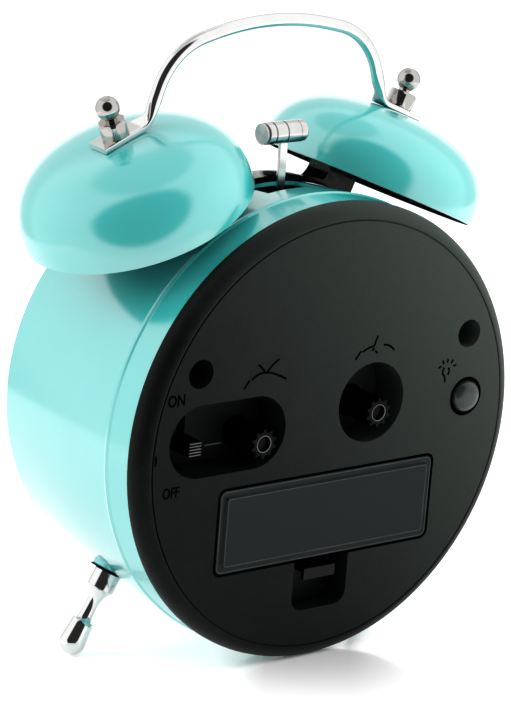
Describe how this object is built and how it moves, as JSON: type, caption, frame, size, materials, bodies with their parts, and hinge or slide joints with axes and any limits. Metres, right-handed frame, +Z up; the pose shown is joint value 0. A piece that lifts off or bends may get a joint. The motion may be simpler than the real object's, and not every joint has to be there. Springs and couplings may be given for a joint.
{
  "type": "alarm clock",
  "caption": "Drum-shaped bell alarm clock on turned feet, with domed bells, a rod handle, swinging hammer, setting knobs, battery door and a quartz gear train.",
  "frame": {"origin": "on the ground, below the middle of the clock's width and depth", "axes": "+Z up, dial towards -Y and leaning back, rear cover towards +Y, +X to the right of someone facing the dial"},
  "size_m": [0.111, 0.0696, 0.1365],
  "materials": {
    "turquoise_paint": "gloss enamel on pressed steel",
    "chrome": "bright plating",
    "hammer_nickel": "nickel plating, finely turned",
    "steel": "plain steel",
    "black_plastic": "satin moulding",
    "door_plastic": "satin moulding",
    "knob_plastic": "satin moulding",
    "gloss_black": "gloss",
    "lens": "clear, domed",
    "dial_white": "printed, satin",
    "ring_plastic": "satin",
    "movement_plastic": "satin moulding",
    "gear_white": "natural acetal",
    "brass": "plain",
    "hand_black": "satin black",
    "hand_silver": "satin",
    "hand_red": "satin red",
    "magnet": "ground",
    "coil_copper": "enamelled wire",
    "board_green": "lacquered board",
    "part_black": "moulded",
    "cam_white": "natural acetal",
    "lamp_clear": "clear resin",
    "cell_jacket": "plain printed jacket"
  },
  "bodies": {
    "clock": {"case_drum": "turquoise_paint", "bell_left": "turquoise_paint", "bell_right": "turquoise_paint", "front_bezel": "chrome", "handle": "chrome", "handle_nuts": "chrome", "foot_left": "chrome", "foot_right": "chrome", "foot_washers": "chrome", "bell_studs": "chrome", "hammer_pivot": "steel", "hammer_bracket": "steel", "cover_screws": "steel", "movement_screws": "steel", "foot_nuts": "steel", "motor_stator": "steel", "hammer_motor": "steel", "contact_positive": "steel", "contact_negative": "steel", "quartz_crystal": "steel", "rear_cover": "black_plastic", "bell_bridge": "gloss_black", "dial_lens": "lens", "dial": "dial_white", "dial_ring": "ring_plastic", "dial_carrier": "ring_plastic", "movement_housing": "movement_plastic", "movement_plate": "movement_plastic", "train_bridge": "movement_plastic", "motor_coil": "coil_copper", "circuit_board": "board_green", "light_board": "board_green", "light_switch": "part_black", "dial_lamp": "lamp_clear", "battery_cell": "cell_jacket"},
    "door": {"battery_door": "door_plastic"},
    "hammer": {"hammer_head": "hammer_nickel", "hammer_arm": "steel"},
    "cam": {"motor_cam": "cam_white"},
    "light_button": {"light_button": "knob_plastic"},
    "alarm_switch": {"alarm_switch": "knob_plastic"},
    "time_setting": {"time_set_knob": "knob_plastic", "time_setting_gear": "gear_white"},
    "minute_work": {"minute_work_wheel": "gear_white"},
    "minute": {"minute_arbor": "brass", "minute_hand": "hand_black"},
    "hour": {"hour_wheel": "gear_white", "hour_hand": "hand_black"},
    "alarm_setting": {"alarm_set_knob": "knob_plastic", "alarm_setting_pinion": "gear_white"},
    "alarm": {"alarm_wheel": "gear_white", "alarm_hand": "hand_red"},
    "second": {"second_wheel": "gear_white", "second_hand": "hand_silver"},
    "intermediate": {"intermediate_wheel": "gear_white"},
    "rotor": {"motor_rotor": "magnet"},
    "third": {"third_wheel": "gear_white"},
    "centre": {"centre_wheel": "gear_white"}
  },
  "joints": [
    {"name": "time_set", "type": "hinge", "parent": "clock", "child": "time_setting", "pos_m": [0.0186, 0.00393, 0.05324], "axis": [0, 0.9925, -0.1224], "continuous": true},
    {"name": "minute_work_turn", "type": "hinge", "parent": "clock", "child": "minute_work", "pos_m": [0.00666, 0.00504, 0.06225], "axis": [0, 0.9925, -0.1224], "continuous": true},
    {"name": "minute_turn", "type": "hinge", "parent": "clock", "child": "minute", "pos_m": [0, 0.00382, 0.05234], "axis": [0, 0.9925, -0.1224], "continuous": true},
    {"name": "hour_turn", "type": "hinge", "parent": "clock", "child": "hour", "pos_m": [0, 0.00382, 0.05234], "axis": [0, 0.9925, -0.1224], "continuous": true},
    {"name": "alarm_set", "type": "hinge", "parent": "clock", "child": "alarm_setting", "pos_m": [-0.0119, 0.00426, 0.05597], "axis": [0, 0.9925, -0.1224], "continuous": true},
    {"name": "alarm_turn", "type": "hinge", "parent": "clock", "child": "alarm", "pos_m": [0, 0.00382, 0.05234], "axis": [0, 0.9925, -0.1224], "continuous": true},
    {"name": "second_turn", "type": "hinge", "parent": "clock", "child": "second", "pos_m": [0, 0.00382, 0.05234], "axis": [0, 0.9925, -0.1224], "continuous": true},
    {"name": "intermediate_turn", "type": "hinge", "parent": "clock", "child": "intermediate", "pos_m": [0.00688, 0.00441, 0.05713], "axis": [0, 0.9925, -0.1224], "continuous": true},
    {"name": "rotor_turn", "type": "hinge", "parent": "clock", "child": "rotor", "pos_m": [0.0124, 0.00497, 0.06172], "axis": [0, 0.9925, -0.1224], "continuous": true},
    {"name": "third_turn", "type": "hinge", "parent": "clock", "child": "third", "pos_m": [-0.00141, 0.00479, 0.06026], "axis": [0, 0.9925, -0.1224], "continuous": true},
    {"name": "centre_turn", "type": "hinge", "parent": "clock", "child": "centre", "pos_m": [0, 0.00382, 0.05234], "axis": [0, 0.9925, -0.1224], "continuous": true},
    {"name": "cam_turn", "type": "hinge", "parent": "clock", "child": "cam", "pos_m": [0, 0.00694, 0.07765], "axis": [0, 0.9925, -0.1224], "continuous": true},
    {"name": "hammer_swing", "type": "hinge", "parent": "clock", "child": "hammer", "pos_m": [0, 0.00906, 0.08343], "axis": [0, 0.9925, -0.1224], "range_deg": [-8.5, 8.5]},
    {"name": "door_hinge", "type": "hinge", "parent": "clock", "child": "door", "pos_m": [0, 0.02803, 0.04095], "axis": [1, 0, 0], "range_deg": [0, 70]},
    {"name": "light_press", "type": "slide", "parent": "clock", "child": "light_button", "axis": [0, -0.9925, 0.1224], "range_m": [0, 0.001], "stiffness_N_per_m": 400, "springref_m": -0.001},
    {"name": "alarm_slide", "type": "slide", "parent": "clock", "child": "alarm_switch", "axis": [0, 0.1224, 0.9925], "range_m": [0, 0.005]}
  ],
  "couplings": [
    {"joint": "minute_work_turn", "follows": "time_set", "ratio": -0.66667},
    {"joint": "minute_turn", "follows": "time_set", "ratio": 2},
    {"joint": "hour_turn", "follows": "time_set", "ratio": 0.16667},
    {"joint": "alarm_turn", "follows": "alarm_set", "ratio": -0.33333},
    {"joint": "intermediate_turn", "follows": "second_turn", "ratio": -6},
    {"joint": "rotor_turn", "follows": "second_turn", "ratio": 30},
    {"joint": "third_turn", "follows": "second_turn", "ratio": -0.13333},
    {"joint": "centre_turn", "follows": "second_turn", "ratio": 0.016667}
  ]
}
